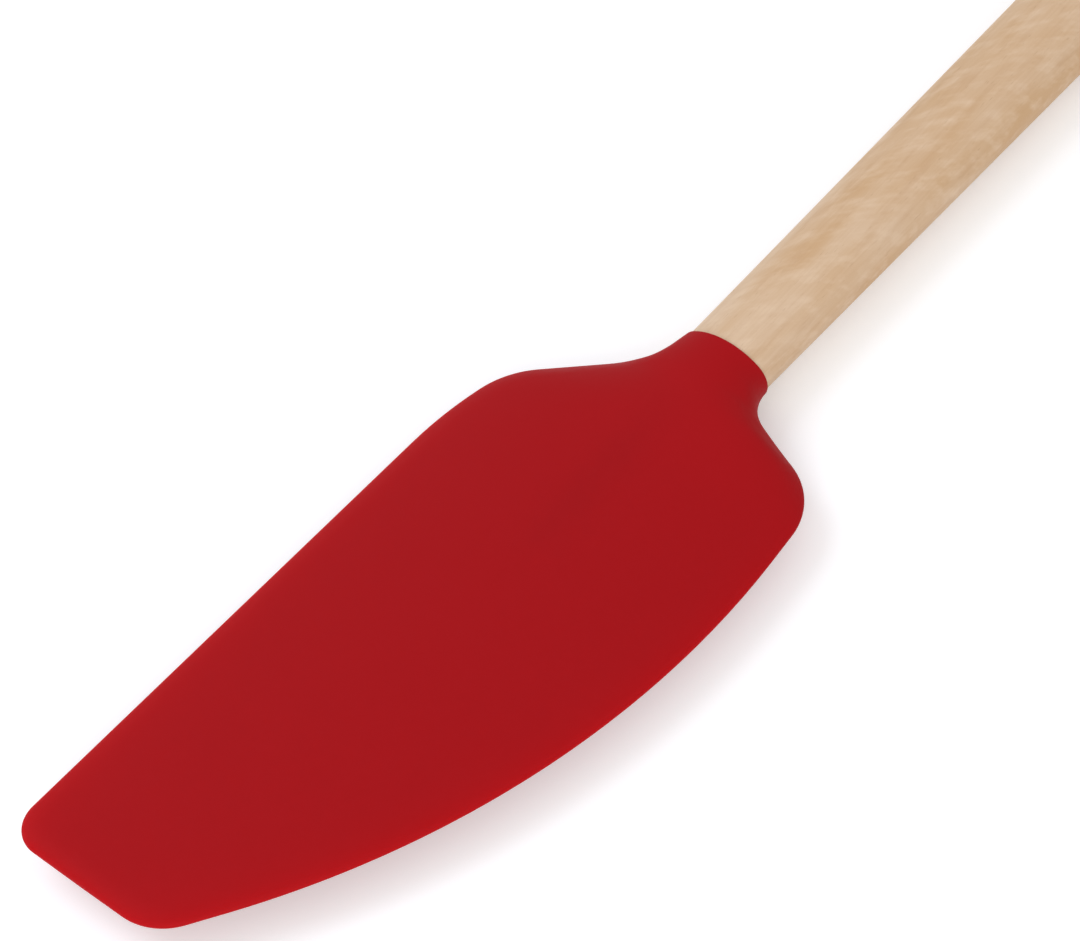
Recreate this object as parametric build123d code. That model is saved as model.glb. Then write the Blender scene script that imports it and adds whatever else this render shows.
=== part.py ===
"""Silicone spatula: a broad one-sided silicone head pushed over the tapered tongue of an oval wooden handle.

X runs along the handle, from the tip of the head at -X to the hanging end at +X. Z is up out of the flat of
the blade, whose mid plane is z = 0. The straight wiping edge is at +Y and the curved belly at -Y. The origin
is the middle of the whole spatula. Lengths are in millimetres, and drafts are angles in degrees.
"""
import os
from math import radians, sqrt, tan

from build123d import *

# Overall sizes
overall_length = 320
head_length = 132
head_width = 60

# Wooden handle: an oval shaft that gets fuller towards the hand, then draws in to its end
handle_width = 15.7
handle_thickness = 10.5
handle_side_radius = 4.1
shaft_draft = 0.68
grip_length = 30
heel_length = 26
heel_draft = 1.5
end_radius = 5
hanging_hole_diameter = 6
hanging_hole_from_end = 14
hanging_hole_chamfer = 0.6

# Tongue: the tapered end of the handle, inside the head
seat_length = 4.5
tongue_length = 48
tongue_draft = 2.9
tongue_end_chamfer = 0.8

# Sleeve of the head, and the pocket that takes the tongue
lip_thickness = 0.5
lip_chamfer = 0.12
push_fit_clearance = 0.1
pocket_end_gap = 1

# Plan of the straight side: flares and drops are measured from the mouth and from the straight edge
left_neck_from_rim = 6
left_neck_flare = 0.65
left_neck_radius = 11.5
left_shoulder_from_rim = 22.8
left_shoulder_drop = 2.4
left_shoulder_radius = 12
straight_edge_from_rim = 34.5
straight_edge_radius = 70
straight_tip_radius = 5.5

# Plan of the belly side
right_neck_from_rim = 5.9
right_neck_flare = 0.35
right_neck_radius = 8
right_shoulder_from_rim = 14.5
right_shoulder_drop = 1.6
right_shoulder_radius = 13
belly_corner_reach = 3.8
belly_corner_share = 0.606
belly_radius = 147
tip_width = 28.5
belly_tip_radius = 10

# Thickness of the head: an oval sleeve that melts into a crowned blade, thin at its edge and its tip
sleeve_length = 4
neck_fade_length = 30
blade_root_thickness = 9.8
blade_tip_thickness = 3
edge_radius = 0.8
parting_land = 0.4

# Stiffening core sealed in the blade
core_thickness = 1.4
core_margin = 9
core_from_rim = 24
core_to_tip = 24
core_slot_margin = 2.5
core_corner_radius = 3
core_hole_diameter = 5
core_hole_pitch = 13
core_hole_margin = 2.5

overrun = 1

# Cross sections that the skin of the head is drawn through, as shares of the stretch that each list covers
sleeve_station_shares = (0, 1)
neck_station_shares = (0.08, 0.15, 0.22, 0.29, 0.36, 0.43, 0.5, 0.58, 0.66, 0.75, 0.87, 1)
blade_station_shares = (0.06, 0.14, 0.24, 0.36, 0.5, 0.66, 0.83, 1)
tip_station_shares = (0.85, 0.7, 0.55, 0.42, 0.3, 0.2, 0.12, 0.06, 0.02, 0)

# The most that a side may be rounded, and that two rounded corners may take of the run between them
fullest_side_share = 0.86
fullest_run_share = 0.98

# Places along X
tip_x = -overall_length / 2
end_x = overall_length / 2
rim_x = tip_x + head_length
seat_x = rim_x - seat_length
heel_x = end_x - heel_length
grip_x = heel_x - grip_length


def oval(x, half_width, height, side_radius, middle=0):
    """A flat oval across X: a wide crown above and below, and a round nose at each side."""
    nose = min(side_radius, height * fullest_side_share)
    crown = (half_width**2 + height**2 - 2 * half_width * nose) / (2 * (height - nose))
    slope = (half_width - nose) / (crown - nose)
    y = half_width - nose + nose * slope
    z = nose * sqrt(1 - slope**2)
    joins = [(-y, z), (y, z), (y, -z), (-y, -z)]
    tops = [(0, height), (half_width, 0), (0, -height), (-half_width, 0)]
    around = [Vector(x, middle + a, b) for a, b in joins]
    across = [Vector(x, middle + a, b) for a, b in tops]
    return Wire([ThreePointArc(around[i], across[i], around[(i + 1) % 4]) for i in range(4)])


def drafted(x, length, draft, grow=0):
    """A stretch of handle from x towards +X, or -X if its length is below zero, that widens by the draft.

    It starts as the oval that the handle has at the rim, drawn round it at a distance of grow.
    """
    start = oval(x, handle_width / 2 + grow, handle_thickness / 2 + grow, handle_side_radius + grow)
    way = (1, 0, 0) if length > 0 else (-1, 0, 0)
    return extrude(make_face(start), amount=abs(length), dir=way, taper=-draft)


# Wooden handle


def shaft():
    """Oval shaft, widening from its seat in the sleeve to the grip, with a rounded hanging end."""
    seat_grow = -seat_length * tan(radians(shaft_draft))
    grip_grow = (grip_x - rim_x) * tan(radians(shaft_draft))
    body = drafted(seat_x, grip_x - seat_x, shaft_draft, seat_grow)
    body += drafted(grip_x, grip_length, 0, grip_grow)
    body += drafted(heel_x, heel_length, -heel_draft, grip_grow)
    return fillet(body.faces().sort_by(Axis.X)[-1].edges(), end_radius)


def tongue(grow=0, extra=0):
    """Tapered end of the handle, or with grow and extra the pocket that takes it."""
    seat_grow = grow - seat_length * tan(radians(shaft_draft))
    body = drafted(seat_x, seat_length - tongue_length - extra, -tongue_draft, seat_grow)
    return chamfer(body.faces().sort_by(Axis.X)[0].edges(), tongue_end_chamfer)


def wooden_handle():
    """The stick of wood in one piece, with its hanging hole eased at both mouths."""
    hole_x = end_x - hanging_hole_from_end
    reach = hanging_hole_diameter / 2 + overrun
    hole = Location((hole_x, 0, 0)) * Cylinder(hanging_hole_diameter / 2, 2 * handle_thickness)
    body = shaft() + tongue() - hole
    rims = body.edges().filter_by_position(Axis.X, hole_x - reach, hole_x + reach)
    rims = rims.filter_by_position(Axis.Y, -reach, reach).filter_by(GeomType.LINE, reverse=True)
    return chamfer(rims, hanging_hole_chamfer)


# Silicone head


def rounded_path(points, radii):
    """Straight runs with rounded corners. A radius is drawn in where its runs are too short for it."""
    points = [Vector(rim_x - back, y) for back, y in points]
    runs = [points[i + 1] - points[i] for i in range(len(points) - 1)]
    turns = [runs[i].get_angle(runs[i + 1]) for i in range(len(radii))]
    reaches = [0] + [radius * tan(radians(turn) / 2) for radius, turn in zip(radii, turns)] + [0]
    fits = [1] * len(points)
    for i, run in enumerate(runs):
        fit = run.length * fullest_run_share / (reaches[i] + reaches[i + 1])
        fits[i] = min(fits[i], fit)
        fits[i + 1] = min(fits[i + 1], fit)
    return FilletPolyline(*points, radius=[radius * fit for radius, fit in zip(radii, fits[1:-1])])


def straight_side():
    """Plan curve of the straight wiping edge, from the mouth to the middle of the tip."""
    mouth = handle_width / 2 + lip_thickness
    edge = head_width / 2
    points = (
        (0, mouth),
        (left_neck_from_rim, mouth + left_neck_flare),
        (left_shoulder_from_rim, edge - left_shoulder_drop),
        (straight_edge_from_rim, edge),
        (head_length, edge),
        (head_length, edge - tip_width / 2),
    )
    radii = (left_neck_radius, left_shoulder_radius, straight_edge_radius, straight_tip_radius)
    return rounded_path(points, radii)


def belly_side():
    """Plan curve of the belly, from the mouth to the middle of the tip."""
    mouth = handle_width / 2 + lip_thickness
    edge = head_width / 2
    points = (
        (0, -mouth),
        (right_neck_from_rim, -mouth - right_neck_flare),
        (right_shoulder_from_rim, right_shoulder_drop - edge),
        (head_length * belly_corner_share, -edge - belly_corner_reach),
        (head_length, edge - tip_width),
        (head_length, edge - tip_width / 2),
    )
    radii = (right_neck_radius, right_shoulder_radius, belly_radius, belly_tip_radius)
    return rounded_path(points, radii)


def side_at(side, back):
    """Y of a plan curve at a distance back from the rim, found by halving."""
    low, high = 0, 1
    for _ in range(40):
        middle = (low + high) / 2
        if rim_x - (side @ middle).X < back:
            low = middle
        else:
            high = middle
    return (side @ low).Y


def neck_fade(back):
    """Soft step from 0 in the sleeve to 1 where the neck has become the blade."""
    share = min(max((back - sleeve_length) / (neck_fade_length - sleeve_length), 0), 1)
    return share * share * (3 - 2 * share)


def half_height(back):
    """Half thickness of the head on its middle line, at a distance back from the rim."""
    sleeve = handle_thickness / 2 + lip_thickness
    taper = max(back - neck_fade_length, 0) / (head_length - neck_fade_length)
    blade = blade_root_thickness / 2 * (1 - taper) + blade_tip_thickness / 2 * taper
    height = sleeve + (blade - sleeve) * neck_fade(back)
    to_tip = min((head_length - back) / (2 * edge_radius), 1)
    return max(height * sqrt(to_tip * (2 - to_tip)), parting_land / 2)


def head_blank():
    """The whole head as one skin of narrow strips, before its pocket and core are cut out."""
    straight, belly = straight_side(), belly_side()
    blade_end = head_length - belly_tip_radius
    backs = [sleeve_length * share for share in sleeve_station_shares]
    backs += [sleeve_length + (neck_fade_length - sleeve_length) * share for share in neck_station_shares]
    backs += [neck_fade_length + (blade_end - neck_fade_length) * share for share in blade_station_shares]
    backs += [head_length - belly_tip_radius * share for share in tip_station_shares]
    sleeve_side = handle_side_radius + lip_thickness
    sections = []
    for back in backs:
        high, low = side_at(straight, back), side_at(belly, back)
        side = sleeve_side + (edge_radius - sleeve_side) * neck_fade(back)
        sections.append(oval(rim_x - back, (high - low) / 2, half_height(back), side, (high + low) / 2))
    return Solid.make_loft(sections, ruled=True)


def pocket():
    """Space inside the head for the tongue and its seat, with the push fit clearance."""
    seat_grow = push_fit_clearance - seat_length * tan(radians(shaft_draft))
    seat = drafted(seat_x, seat_length + overrun, shaft_draft, seat_grow)
    return seat + tongue(push_fit_clearance, pocket_end_gap)


def silicone_head():
    """The head, moulded round its core, with a thin soft lip at its mouth."""
    body = head_blank() - pocket() - stiffener_core()
    return chamfer(body.faces().sort_by(Axis.X)[-1].edges(), lip_chamfer)


# Stiffener core


def core_plan():
    """Plan of the core: the blade drawn in by its margin, forked round the pocket."""
    straight, belly = straight_side(), belly_side()
    blade = make_face([straight, belly, Line(straight @ 0, belly @ 0)])
    length = head_length - core_from_rim - core_to_tip
    window = Location((rim_x - core_from_rim - length / 2, 0)) * Rectangle(length, 2 * head_width)
    slot_half = handle_width / 2 + core_slot_margin
    slot_x = rim_x - tongue_length - pocket_end_gap - core_slot_margin + slot_half
    slot = Location((slot_x, 0)) * Circle(slot_half)
    slot += Location(((slot_x + rim_x) / 2, 0)) * Rectangle(rim_x - slot_x, 2 * slot_half)
    plan = offset(blade, amount=-core_margin) & window - slot
    return offset(offset(plan, amount=-core_corner_radius), amount=core_corner_radius)


def stiffener_core():
    """Forked plate with a grid of keying holes, which the silicone flows through."""
    plan = core_plan()
    columns = int(head_length / core_hole_pitch)
    rows = int(head_width / core_hole_pitch)
    spots = GridLocations(core_hole_pitch, core_hole_pitch, columns, rows)
    spots = [Location((rim_x - head_length / 2, 0)) * spot for spot in spots]
    room = core_hole_diameter / 2 + core_hole_margin
    plate = extrude(plan, amount=core_thickness / 2, both=True)
    for spot in spots:
        clear = min(edge.distance_to(spot.position) for edge in plan.edges()) > room
        if clear and any(face.is_inside(spot.position) for face in plan.faces()):
            plate -= spot * Cylinder(core_hole_diameter / 2, core_thickness + overrun)
    return plate


os.makedirs("parts", exist_ok=True)
for piece in (silicone_head, stiffener_core, wooden_handle):
    export_step(piece(), f"parts/{piece.__name__}.step")
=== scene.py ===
"""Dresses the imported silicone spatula: a red moulded silicone head on a pale beech handle.

Lengths are in metres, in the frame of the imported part. X runs along the handle, from the tip of the
head at -X to the hanging end at +X. Z is up out of the flat of the blade, and the straight wiping edge
is at +Y.
"""
from math import atan2, cos, pi, radians, sin, tan

import bmesh
import bpy
import numpy as np
from mathutils import Matrix, Vector


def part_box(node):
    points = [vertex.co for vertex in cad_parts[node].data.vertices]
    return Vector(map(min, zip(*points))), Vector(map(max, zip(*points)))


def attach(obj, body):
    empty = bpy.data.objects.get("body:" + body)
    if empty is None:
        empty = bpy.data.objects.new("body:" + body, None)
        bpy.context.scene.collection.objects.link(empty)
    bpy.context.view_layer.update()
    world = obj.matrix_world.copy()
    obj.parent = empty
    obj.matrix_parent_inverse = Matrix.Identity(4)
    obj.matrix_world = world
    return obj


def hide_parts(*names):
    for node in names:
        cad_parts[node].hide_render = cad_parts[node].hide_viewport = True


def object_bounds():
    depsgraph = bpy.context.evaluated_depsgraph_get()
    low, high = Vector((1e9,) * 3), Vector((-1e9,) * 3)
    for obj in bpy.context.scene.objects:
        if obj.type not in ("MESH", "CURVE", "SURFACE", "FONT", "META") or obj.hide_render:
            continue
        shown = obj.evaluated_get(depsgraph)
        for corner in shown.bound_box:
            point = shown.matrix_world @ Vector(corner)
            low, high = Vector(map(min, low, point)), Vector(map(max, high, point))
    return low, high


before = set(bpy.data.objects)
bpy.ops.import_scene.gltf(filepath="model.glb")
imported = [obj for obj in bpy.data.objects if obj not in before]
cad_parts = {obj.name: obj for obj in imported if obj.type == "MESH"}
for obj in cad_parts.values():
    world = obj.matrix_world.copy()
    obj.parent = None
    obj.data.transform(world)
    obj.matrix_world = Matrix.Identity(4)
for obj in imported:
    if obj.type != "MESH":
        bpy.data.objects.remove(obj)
cad_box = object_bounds()

# Wooden handle. One stick of pale, close-grained beech, shaped and sanded to an oval that gets fuller
# towards the hand. Its end inside the head is drawn in to a tongue, and a hole for a hook goes through
# the other end.

handle_width = 0.0157
handle_thickness = 0.0105
handle_side_radius = 0.0041
shaft_draft = radians(0.68)
grip_length = 0.030
heel_length = 0.026
heel_draft = radians(1.5)
sanded_bend = 0.012
end_radius = 0.005
hole_radius = 0.003
hole_from_end = 0.014
hole_easing = 0.0006
seat_length = 0.0045
tongue_length = 0.048
tongue_draft = radians(2.9)
tongue_end_radius = 0.0008

rim_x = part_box("silicone_head")[1].x
end_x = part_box("wooden_handle")[1].x
seat_x = rim_x - seat_length
tongue_x = rim_x - tongue_length
heel_x = end_x - heel_length
grip_x = heel_x - grip_length
hole_x = end_x - hole_from_end

# How finely the skin is divided. The hole has a square patch of rings and columns to itself, and the
# reach of the patch is from the middle of the hole to a side of that square.
handle_steps = 48
arc_steps = 8
tongue_rings = 12
tongue_ring_gap = 0.004
shaft_rings = 60
shaft_ring_gap = 0.002
patch_rings = 15
patch_margin = 0.0008
patch_reach = hole_radius + 2 * hole_easing + patch_margin
mouth_rings = 4
same_point = 1e-7


def oval(half_width, height, side_radius, across):
    """Heights of an oval with a wide crown and round sides, at shares of its half width."""
    crown = (half_width**2 + height**2 - 2 * half_width * side_radius) / (2 * (height - side_radius))
    join = half_width - side_radius + side_radius * (half_width - side_radius) / (crown - side_radius)
    y = np.abs(across) * half_width
    top = np.sqrt(crown**2 - np.minimum(y, join) ** 2) - (crown - height)
    side = np.sqrt(np.maximum(side_radius**2 - np.maximum(y - half_width + side_radius, 0) ** 2, 0))
    return np.where(y < join, top, side)


def spread(steps):
    """Shares of a half width from -1 to 1, closer together towards the sides."""
    return -np.cos(np.linspace(0, pi, steps + 1))


def ring(x, middle, half_width, heights, across):
    """A closed ring of points across X: over the top from -Y to +Y, and back underneath."""
    top = [(x, middle + half_width * share, z) for share, z in zip(across, heights)]
    return top + [(x, y, -z) for x, y, z in reversed(top[1:-1])]


def grown_oval(grow):
    """Half width, half height and side radius of the oval at the rim, moved out by grow."""
    return handle_width / 2 + grow, handle_thickness / 2 + grow, handle_side_radius + grow


def handle_ring(x, grow, across):
    """The oval that the handle has at the rim of the head, moved out by grow and placed at x."""
    half_width, height, side_radius = grown_oval(grow)
    return ring(x, 0, half_width, oval(half_width, height, side_radius, across), across)


def past(x, bend_x):
    """How far a place lies beyond a bend in the side of the handle, sanded soft on both sides of it."""
    if abs(x - bend_x) < sanded_bend:
        return (x - bend_x + sanded_bend) ** 2 / (4 * sanded_bend)
    return max(x - bend_x, 0)


def handle_grow(x):
    """How far the skin of the handle stands out from its oval at the rim."""
    if x < seat_x:
        return -seat_length * tan(shaft_draft) - (seat_x - x) * tan(tongue_draft)
    return (x - rim_x - past(x, grip_x)) * tan(shaft_draft) - past(x, heel_x) * tan(heel_draft)


def handle_top(x, y):
    """Height of the skin of the handle over a point."""
    half_width, height, side_radius = grown_oval(handle_grow(x))
    return float(oval(half_width, height, side_radius, np.array(y / half_width)))


def between(one, two):
    """The faces between two closed rings, each given as the numbers of its points."""
    return list(zip(one, one[1:] + one[:1], two[1:] + two[:1], two))


def skin(rings):
    """The faces that join each ring to the next, and a flat face on the last."""
    count = len(rings[0])
    rows = [list(range(row * count, (row + 1) * count)) for row in range(len(rings))]
    faces = []
    for one, two in zip(rows, rows[1:]):
        faces += between(one, two)
    return faces + [tuple(rows[-1])]


def closed_piece(name, points, faces):
    """A smooth closed object from points and faces, with points that coincide made one."""
    mesh = bpy.data.meshes.new(name)
    mesh.from_pydata(points, [], faces)
    shape = bmesh.new()
    shape.from_mesh(mesh)
    bmesh.ops.remove_doubles(shape, verts=shape.verts, dist=same_point)
    bmesh.ops.recalc_face_normals(shape, faces=shape.faces)
    for face in shape.faces:
        face.smooth = True
    shape.to_mesh(mesh)
    shape.free()
    piece = bpy.data.objects.new(name, mesh)
    bpy.context.scene.collection.objects.link(piece)
    return piece


def handle_rings(across):
    """Rings from the tongue to the hanging end, and the first and last row of the patch of the hole."""
    rings = []
    for turn in np.linspace(0, pi / 2, arc_steps):
        x = tongue_x + tongue_end_radius * (1 - cos(turn))
        rings.append(handle_ring(x, handle_grow(x) - tongue_end_radius * (1 - sin(turn)), across))
    places = list(np.linspace(tongue_x + tongue_ring_gap, seat_x, tongue_rings))
    places += list(np.linspace(rim_x, hole_x - patch_reach - shaft_ring_gap, shaft_rings))
    places += list(np.linspace(hole_x - patch_reach, hole_x + patch_reach, patch_rings))
    rings += [handle_ring(x, handle_grow(x), across) for x in places]
    last_row = len(rings) - 1
    for turn in np.linspace(0, pi / 2, 2 * arc_steps):
        x = end_x - end_radius * (1 - sin(turn))
        rings.append(handle_ring(x, handle_grow(x) - end_radius * (1 - cos(turn)), across))
    return rings, last_row - patch_rings + 1, last_row


def patch_columns(across):
    """The columns where the patch of the hole begins and ends, on top of the handle."""
    middle = handle_steps // 2
    wide = int(np.sum(np.abs(across * handle_width / 2) < patch_reach)) // 2
    return middle - wide, middle + wide


def patch_edge(first_row, last_row, low, high):
    """The places round the edge of the patch, one after another, as (row, column)."""
    edge = [(first_row, column) for column in range(low, high)]
    edge += [(row, high) for row in range(first_row, last_row)]
    edge += [(last_row, column) for column in range(high, low, -1)]
    edge += [(row, low) for row in range(last_row, first_row, -1)]
    return edge


def hole_mouth(edge, side):
    """Rings from the edge of the patch to the mouth of the hole and over its easing, on one side."""
    mouth = hole_radius + hole_easing
    reaches = [(share, mouth, 0) for share in np.linspace(0, 1, mouth_rings + 1)[1:]]
    for turn in np.linspace(0, pi / 2, arc_steps)[1:]:
        reaches.append((1, mouth - hole_easing * sin(turn), hole_easing * (1 - cos(turn))))
    rims = []
    for share, radius, drop in reaches:
        rim = []
        for x, y, _ in edge:
            angle = atan2(y, x - hole_x)
            inner_x = x + (hole_x + radius * cos(angle) - x) * share
            inner_y = y + (radius * sin(angle) - y) * share
            rim.append((inner_x, inner_y, side * (handle_top(inner_x, inner_y) - drop)))
        rims.append(rim)
    return rims


def handle_piece():
    """The stick of wood as one closed skin, with an eased hole through it near its end."""
    across = spread(handle_steps)
    rings, first_row, last_row = handle_rings(across)
    low, high = patch_columns(across)
    count = len(rings[0])
    points = [point for one in rings for point in one]

    faces = [tuple(range(count))]
    for number, face in enumerate(skin(rings)):
        row, column = divmod(number, count)
        on_patch = low <= column < high or count - high <= column < count - low
        if not (first_row <= row < last_row and on_patch):
            faces.append(face)

    walls = []
    for side in (1, -1):
        places = patch_edge(first_row, last_row, low, high)
        edge = [row * count + (column if side > 0 else count - column) for row, column in places]
        rims = [edge]
        for rim in hole_mouth([points[i] for i in edge], side):
            rims.append(list(range(len(points), len(points) + len(rim))))
            points += rim
        walls.append(rims)
    walls = walls[0] + walls[1][::-1]
    for one, two in zip(walls, walls[1:]):
        faces += between(one, two)
    return closed_piece("beech_handle", points, faces)


def linear(colour):
    """Turns an sRGB hex colour into the linear values that a shader takes."""
    parts = [int(colour[i : i + 2], 16) / 255 for i in (0, 2, 4)]
    return [part / 12.92 if part <= 0.04045 else ((part + 0.055) / 1.055) ** 2.4 for part in parts] + [1]


def add(tree, kind, inputs, **settings):
    """Adds a node, sets what is named, and fills its inputs with values or links from other sockets."""
    node = tree.nodes.new(kind)
    for name, value in settings.items():
        setattr(node, name, value)
    for name, value in inputs.items():
        if isinstance(value, bpy.types.NodeSocket):
            tree.links.new(value, node.inputs[name])
        else:
            node.inputs[name].default_value = value
    return node


def new_material(name):
    """An empty material, its node tree, and a socket with the place of each point on its object."""
    material = bpy.data.materials.new(name)
    material.use_nodes = True
    tree = material.node_tree
    tree.nodes.clear()
    return material, tree, add(tree, "ShaderNodeTexCoord", {}).outputs["Object"]


def blended(tree, under, over, pattern, low=0, high=1, most=1):
    """One colour over another, up to a share, where the pattern is high.

    A Mix node for colours takes them in its inputs 6 and 7 and gives the result in its output 2.
    """
    span = {"Value": pattern, "From Min": low, "From Max": high, "To Max": most}
    colours = {"Factor": add(tree, "ShaderNodeMapRange", span).outputs["Result"], 6: under, 7: over}
    return add(tree, "ShaderNodeMix", colours, data_type="RGBA").outputs[2]


def give(piece, material):
    """Puts one material on all of a piece."""
    if not piece.material_slots:
        piece.data.materials.append(material)
    for slot in piece.material_slots:
        slot.material = material


# Sizes of the figure of the wood, along its grain and across it. A beech fibre is 0.02 mm wide, too fine
# to show from here, so bundles of fibres are drawn. The board cut is the place in the noise that the
# stick is cut from.
figure_length = 0.030
figure_width = 0.007
curl_length = 0.005
curl_width = 0.0016
curl_slant = radians(35)
streak_length = 0.010
streak_width = 0.0016
fibre_length = 0.012
fibre_width = 0.0003
fibre_relief = 0.0001
fleck_length = 0.0018
fleck_width = 0.00015
board_cut = 24.6


def beech():
    """Steamed beech, sanded and thinly oiled: satin, with soft curls, faint fibres and short flecks."""
    material, tree, place = new_material("beech")

    def patches(length, width, detail, slant=0):
        """Soft patches, so long along the handle, or at a slant to it, and so wide across it."""
        turned = {"Vector": place, "Angle": slant}
        turned = add(tree, "ShaderNodeVectorRotate", turned, rotation_type="Z_AXIS").outputs["Vector"]
        drawn_out = {0: turned, 1: (1 / length, 1 / width, 1 / width)}
        drawn_out = add(tree, "ShaderNodeVectorMath", drawn_out, operation="MULTIPLY").outputs["Vector"]
        cut = {"Vector": drawn_out, "W": board_cut, "Scale": 1, "Detail": detail}
        return add(tree, "ShaderNodeTexNoise", cut, noise_dimensions="4D").outputs["Fac"]

    figure = patches(figure_length, figure_width, detail=2)
    curls = patches(curl_length, curl_width, detail=4, slant=curl_slant)
    streaks = patches(streak_length, streak_width, detail=4)
    fibres = patches(fibre_length, fibre_width, detail=3)
    flecks = patches(fleck_length, fleck_width, detail=1)
    tone = blended(tree, linear("d0aa80"), linear("ddbf9f"), figure, low=0.35, high=0.65)
    tone = blended(tree, tone, linear("efd6ba"), curls, low=0.45, high=0.75, most=0.42)
    tone = blended(tree, tone, linear("c0966d"), streaks, low=0.52, high=0.8, most=0.45)
    tone = blended(tree, tone, linear("c49b74"), fibres, low=0.4, high=0.8, most=0.25)
    tone = blended(tree, tone, linear("a57a55"), flecks, low=0.68, high=0.76, most=0.3)
    relief = add(tree, "ShaderNodeBump", {"Height": fibres, "Strength": 0.2, "Distance": fibre_relief})
    rough = add(tree, "ShaderNodeMapRange", {"Value": fibres, "To Min": 0.45, "To Max": 0.6})
    look = {
        "Base Color": tone,
        "Roughness": rough.outputs["Result"],
        "IOR": 1.5,
        "Specular IOR Level": 0.3,
        "Normal": relief.outputs["Normal"],
    }
    surface = add(tree, "ShaderNodeBsdfPrincipled", look)
    add(tree, "ShaderNodeOutputMaterial", {"Surface": surface.outputs["BSDF"]})
    return material


handle = handle_piece()
give(handle, beech())
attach(handle, "handle")
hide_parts("wooden_handle")

# Stiffener core. A thin forked plate of moulded nylon, sealed inside the blade when the silicone is
# moulded round it. Nothing of it shows from outside, so it keeps its CAD solid.

# The grain of a spark-eroded mould is about 0.1 mm wide, too fine to show, so it is drawn coarser.
spark_grain = 0.0004
spark_depth = 0.00003


def moulded_nylon():
    """Natural unfilled nylon from a spark-eroded mould: milky white, with a fine even matt texture."""
    material, tree, place = new_material("moulded_nylon")
    grain = add(tree, "ShaderNodeTexNoise", {"Vector": place, "Scale": 1 / spark_grain, "Detail": 2})
    tone = blended(tree, linear("dcd9cd"), linear("ece9de"), grain.outputs["Fac"])
    relief = {"Height": grain.outputs["Fac"], "Strength": 0.3, "Distance": spark_depth}
    relief = add(tree, "ShaderNodeBump", relief).outputs["Normal"]
    look = {"Base Color": tone, "Roughness": 0.5, "IOR": 1.53, "Normal": relief}
    surface = add(tree, "ShaderNodeBsdfPrincipled", look)
    add(tree, "ShaderNodeOutputMaterial", {"Surface": surface.outputs["BSDF"]})
    return material


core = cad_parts["stiffener_core"]
give(core, moulded_nylon())

# Silicone head. One moulding of red silicone, pushed over the tongue. An oval sleeve with a thin rounded
# lip runs without a crease into a broad crowned blade with one straight and one curved edge. It is one
# skin, from the tip over the blade and the sleeve, round the lip and down into the pocket.

head_length = 0.132
head_width = 0.060
tip_width = 0.0285
tip_zone_length = 0.010
sleeve_length = 0.004
oval_fade_length = 0.0071
neck_fade_length = 0.030
blade_root_thickness = 0.0098
blade_tip_thickness = 0.003
edge_thickness = 0.0018
margin_width = 0.0035
margin_fullness = 2.3
lip_thickness = 0.0004
push_fit_clearance = 0.0001
pocket_end_gap = 0.001
lip_round = (lip_thickness - push_fit_clearance) / 2

# Corners of the plan on each side: distance back from the rim, distance from the axis, and the radius of
# the arc that rounds the corner.
straight_corners = (
    (0.006, 0.0093, 0.0075),  # foot of the sleeve
    (0.022, 0.02735, 0.016),  # shoulder
    (0.0345, head_width / 2, 0.070),  # start of the wiping edge
    (head_length, head_width / 2, 0.0055),  # corner of the tip
)
belly_corners = (
    (0.0058, 0.0084, 0.0088),  # foot of the sleeve
    (0.0142, 0.0283, 0.0132),  # shoulder
    (0.080, 0.0338, 0.147),  # fullness of the belly
    (head_length, tip_width - head_width / 2, 0.010),  # corner of the tip
)

# How finely the skin is divided.
head_steps = 96
tip_rings = 44
blade_rings = 60
neck_rings = 80
lip_rings = 13
pocket_end_rings = 7
arc_step = radians(1)


def rounded_path(start, corners, end):
    """Points along straight runs with an arc of that radius at each corner, as (distance back, y)."""
    runs = [np.array(start)] + [np.array(corner[:2]) for corner in corners] + [np.array(end)]
    path = [runs[0]]
    for before, corner, after, (_, _, radius) in zip(runs, runs[1:], runs[2:], corners):
        into, out = (corner - before), (after - corner)
        into, out = into / np.linalg.norm(into), out / np.linalg.norm(out)
        turn = atan2(into[0] * out[1] - into[1] * out[0], into @ out)
        side = np.array((-into[1], into[0])) * (1 if turn > 0 else -1)
        first = corner - into * radius * tan(abs(turn) / 2)
        for angle in np.linspace(0, abs(turn), max(int(abs(turn) / arc_step), 2)):
            path.append(first + into * radius * sin(angle) + side * radius * (1 - cos(angle)))
    return np.array(path + runs[-1:])


def eased(share):
    """A soft step from 0 to 1."""
    share = min(max(share, 0), 1)
    return share * share * (3 - 2 * share)


def section_heights(back, half_width, across, depth):
    """Heights of the section at a distance back from the rim: the sleeve's oval fades to a crown.

    The depth of each point is its distance inside the outline of the plan, which rounds off the margin.
    """
    taper = max(back - neck_fade_length, 0) / (head_length - neck_fade_length)
    blade = (blade_root_thickness + (blade_tip_thickness - blade_root_thickness) * taper) / 2
    sleeve = handle_thickness / 2 + lip_thickness
    rise = eased((back - sleeve_length) / (neck_fade_length - sleeve_length))
    height = sleeve + (blade - sleeve) * rise
    inward = np.clip(depth / margin_width, 0, 1)
    margin = (1 - (1 - inward) ** margin_fullness) ** (1 / margin_fullness)
    edge = edge_thickness / 2
    crowned = (edge + (height - edge) * (1 - across**2)) * margin
    fade = eased((back - sleeve_length) / oval_fade_length)
    if fade == 1:
        return crowned
    rounded = oval(half_width, height, handle_side_radius + lip_thickness, across)
    return rounded + (crowned - rounded) * fade


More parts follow.
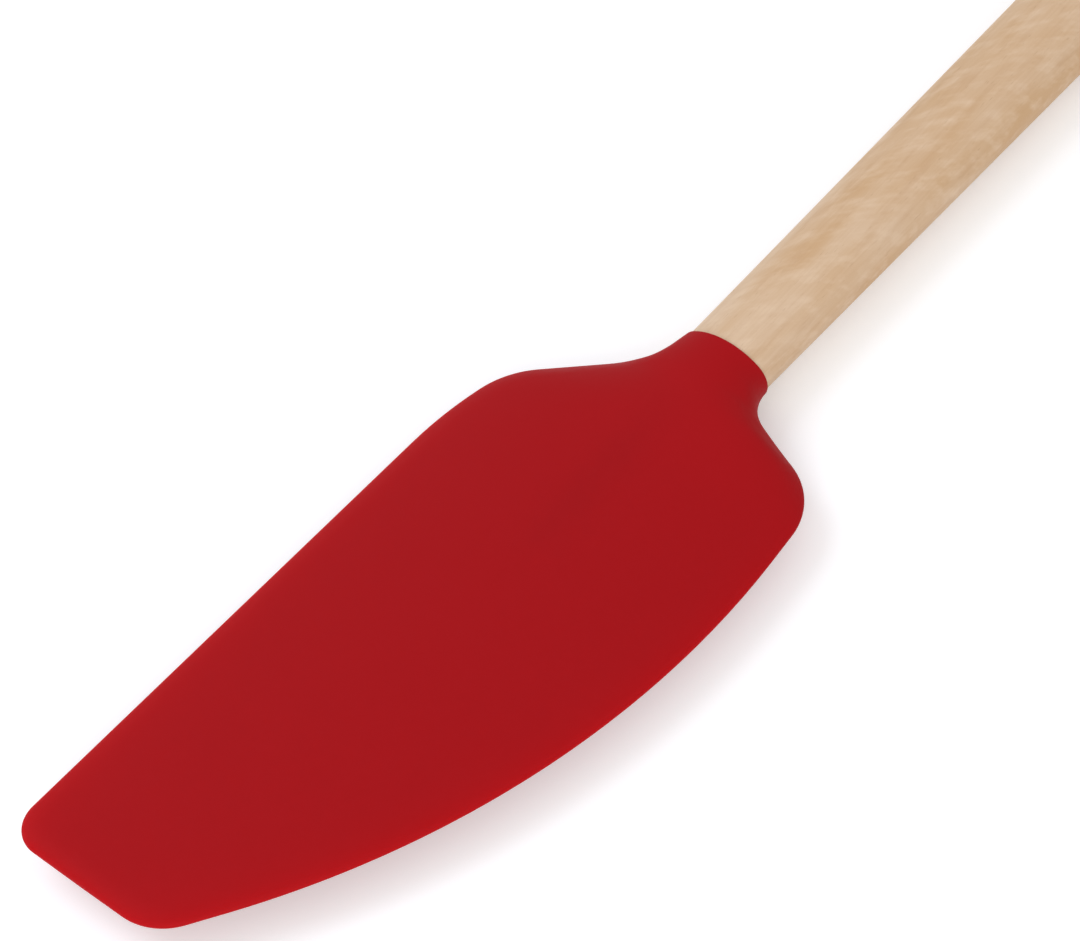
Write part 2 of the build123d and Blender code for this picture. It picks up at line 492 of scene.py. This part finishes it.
def head_plan():
    """The straight side and the belly side of the plan, each from the rim to the middle of the tip."""
    mouth = handle_width / 2 + lip_thickness
    tip_middle = (head_length, (head_width - tip_width) / 2)
    belly_side = [(back, -y, radius) for back, y, radius in belly_corners]
    straight = rounded_path((0, mouth), straight_corners, tip_middle)
    return straight, rounded_path((0, -mouth), belly_side, tip_middle)


def depth_inside(places, starts, runs):
    """Distance of each place from the nearest of the runs that make up the outline of the plan."""
    offsets = places[:, None] - starts
    along = np.clip((offsets * runs).sum(2) / (runs**2).sum(1), 0, 1)
    return np.linalg.norm(offsets - along[..., None] * runs, axis=2).min(1)


def head_rings(across):
    """Rings of the outer skin, from the tip to the lip.

    Each side of the plan ends with the middle of the tip, which is left out where the width is read.
    """
    straight, belly = head_plan()
    starts = np.vstack([straight[:-1], belly[:-1]])
    runs = np.vstack([straight[1:], belly[1:]]) - starts
    tip_turns = np.linspace(0, pi / 2, tip_rings)
    backs = list(head_length - tip_zone_length * (1 - np.cos(tip_turns)))
    backs += list(np.linspace(head_length - tip_zone_length, neck_fade_length, blade_rings)[1:])
    backs += list(np.linspace(neck_fade_length, lip_round, neck_rings)[1:])
    rings = []
    for back in backs:
        high = np.interp(back, straight[:-1, 0], straight[:-1, 1])
        low = np.interp(back, belly[:-1, 0], belly[:-1, 1])
        middle, half_width = (high + low) / 2, (high - low) / 2
        y = middle + half_width * across
        depth = depth_inside(np.stack([np.full(len(y), back), y], axis=1), starts, runs)
        heights = section_heights(back, half_width, across, depth)
        rings.append(ring(rim_x - back, middle, half_width, heights, across))
    return rings


def pocket_rings(across):
    """Rings round the lip, then down the pocket to its closed end."""
    rings = []
    for angle in np.linspace(pi / 2, -pi / 2, lip_rings)[1:]:
        grow = push_fit_clearance + lip_round + lip_round * sin(angle)
        rings.append(handle_ring(rim_x - lip_round + lip_round * cos(angle), grow, across))
    seat_grow = push_fit_clearance - seat_length * tan(shaft_draft)
    rings.append(handle_ring(seat_x, seat_grow, across))
    pocket_depth = tongue_length - seat_length + pocket_end_gap
    for angle in np.linspace(0, pi / 2, pocket_end_rings):
        back = pocket_depth - tongue_end_radius * (1 - sin(angle))
        grow = seat_grow - back * tan(tongue_draft) - tongue_end_radius * (1 - cos(angle))
        rings.append(handle_ring(seat_x - back, grow, across))
    return rings


def head_piece():
    """The whole skin of the head, inside and out."""
    across = spread(head_steps)
    rings = head_rings(across) + pocket_rings(across)
    return closed_piece("red_silicone_head", [point for one in rings for point in one], skin(rings))


# Red light reaches this far through the silicone, and green and blue light a small share of it. That
# shows in the blade, and not in the neck, where the wood inside stops the light. The lengths of the
# dark and of the clear part are both from the rim.
light_reach = 0.009
light_shares = (1.0, 0.2, 0.15)
most_light = 0.42
dark_neck_length = 0.012
clear_blade_length = 0.040
pigment_cloud = 0.020


def moulded_silicone():
    """Pigmented food-grade silicone, moulded: matt and even, and a little brighter at its thin edges."""
    material, tree, place = new_material("moulded_silicone")
    cloud = add(tree, "ShaderNodeTexNoise", {"Vector": place, "Scale": 1 / pigment_cloud, "Detail": 3})
    grain = add(tree, "ShaderNodeTexNoise", {"Vector": place, "Scale": 1 / spark_grain, "Detail": 2})
    tone = blended(tree, linear("a50b12"), linear("a70d14"), cloud.outputs["Fac"])
    along = add(tree, "ShaderNodeSeparateXYZ", {"Vector": place}).outputs["X"]
    span = {"From Min": rim_x - dark_neck_length, "From Max": rim_x - clear_blade_length}
    through = add(tree, "ShaderNodeMapRange", {"Value": along, "To Max": most_light} | span)
    relief = {"Height": grain.outputs["Fac"], "Strength": 0.15, "Distance": spark_depth}
    look = {
        "Base Color": tone,
        "Roughness": 0.6,
        "IOR": 1.41,
        "Specular IOR Level": 0.12,
        "Subsurface Weight": through.outputs["Result"],
        "Subsurface Radius": light_shares,
        "Subsurface Scale": light_reach,
        "Normal": add(tree, "ShaderNodeBump", relief).outputs["Normal"],
    }
    surface = add(tree, "ShaderNodeBsdfPrincipled", look)
    add(tree, "ShaderNodeOutputMaterial", {"Surface": surface.outputs["BSDF"]})
    return material


head = head_piece()
give(head, moulded_silicone())
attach(head, "head")
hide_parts("silicone_head")

# Floor. A large sheet of matt white board under the spatula, just clear of its lowest point. It glows a
# little where it is seen, and more so far away, so that it meets the white surround without a line.

floor_drop = 0.0002
floor_size = 6.0
near_glow = 0.28
far_glow = 0.43
near_reach = 0.4
far_reach = 1.2


def seen(tree):
    """A socket that is 1 for what is seen, by eye, in a gloss or through glass, and 0 for other light."""
    rays = add(tree, "ShaderNodeLightPath", {}).outputs
    either = rays["Is Camera Ray"]
    for kind in ("Is Glossy Ray", "Is Transmission Ray"):
        most = add(tree, "ShaderNodeMath", {0: either, 1: rays[kind]}, operation="MAXIMUM")
        either = most.outputs["Value"]
    return either


def white_board():
    """Matt white board: pure white to the eye and in reflections, but darker where the shadow falls."""
    material, tree, place = new_material("white_board")
    reach = add(tree, "ShaderNodeVectorMath", {0: place}, operation="LENGTH").outputs["Value"]
    span = {"From Min": near_reach, "From Max": far_reach, "To Min": near_glow, "To Max": far_glow}
    even = add(tree, "ShaderNodeMapRange", {"Value": reach} | span).outputs["Result"]
    strength = add(tree, "ShaderNodeMath", {0: seen(tree), 1: even}, operation="MULTIPLY")
    board = add(tree, "ShaderNodeBsdfDiffuse", {"Color": linear("f4f4f4")})
    glow = {"Color": linear("ffffff"), "Strength": strength.outputs["Value"]}
    glow = add(tree, "ShaderNodeEmission", glow)
    both = add(tree, "ShaderNodeAddShader", {0: board.outputs["BSDF"], 1: glow.outputs["Emission"]})
    add(tree, "ShaderNodeOutputMaterial", {"Surface": both.outputs["Shader"]})
    return material


floor_z = cad_box[0].z - floor_drop
half = floor_size / 2
floor_corners = [(x * half, y * half, floor_z) for x, y in ((-1, -1), (1, -1), (1, 1), (-1, 1))]
floor_mesh = bpy.data.meshes.new("floor")
floor_mesh.from_pydata(floor_corners, [], [(0, 1, 2, 3)])
floor = bpy.data.objects.new("floor", floor_mesh)
bpy.context.scene.collection.objects.link(floor)
give(floor, white_board())

# Light. An even surround, seen as pure white but lighting the object less, a large cool softbox high
# beyond the straight edge, and a smaller neutral one low in front of the tip.

surround_light = 0.64
lamp_target = Vector((-0.06, 0, 0))

world = bpy.data.worlds.new("surround")
bpy.context.scene.world = world
world.use_nodes = True
sky = world.node_tree
sky.nodes.clear()
level = add(sky, "ShaderNodeMapRange", {"Value": seen(sky), "To Min": surround_light, "To Max": 1.0})
light = {"Color": linear("ffffff"), "Strength": level.outputs["Result"]}
light = add(sky, "ShaderNodeBackground", light)
add(sky, "ShaderNodeOutputWorld", {"Surface": light.outputs["Background"]})


def softbox(name, place, size, power, colour):
    """A square area lamp that faces the root of the blade."""
    lamp_data = bpy.data.lights.new(name, "AREA")
    lamp_data.shape = "SQUARE"
    lamp_data.size = size
    lamp_data.energy = power
    lamp_data.color = linear(colour)[:3]
    lamp = bpy.data.objects.new(name, lamp_data)
    bpy.context.scene.collection.objects.link(lamp)
    lamp.location = place
    lamp.rotation_euler = (lamp_target - Vector(place)).to_track_quat("-Z", "Y").to_euler()


softbox("key", place=(-0.35, 0.75, 0.95), size=0.8, power=5, colour="eaf0ff")
softbox("front", place=(-0.8, -0.55, 0.5), size=0.6, power=4, colour="f4f2f6")

# Camera. It looks down on the head from beside the tip, on the side of the belly, as in the photograph.
# With its place, roll and focal length, the head and the handle fall where the photograph has them.

camera_target = Vector((-0.06255, 0.01015, 0))
camera_distance = 0.48068
camera_azimuth = radians(43.566)
camera_elevation = radians(50.188)
camera_roll = radians(-5.926)
focal_pixels = 3099.7
photo_width = 1080
nearest_seen = 0.01

level_back = Vector((-cos(camera_azimuth), -sin(camera_azimuth), 0))
towards = level_back * cos(camera_elevation) + Vector((0, 0, sin(camera_elevation)))
level_right = Vector((0, 0, 1)).cross(towards).normalized()
level_up = towards.cross(level_right)
right = level_right * cos(camera_roll) + level_up * sin(camera_roll)
up = level_up * cos(camera_roll) - level_right * sin(camera_roll)
camera_data = bpy.data.cameras.new("camera")
camera_data.lens = focal_pixels * camera_data.sensor_width / photo_width
camera_data.clip_start = nearest_seen
camera = bpy.data.objects.new("camera", camera_data)
bpy.context.scene.collection.objects.link(camera)
turned = Matrix((right, up, towards)).transposed().to_4x4()
camera.matrix_world = Matrix.Translation(camera_target + towards * camera_distance) @ turned
bpy.context.scene.camera = camera
bpy.context.scene.view_settings.view_transform = "Standard"
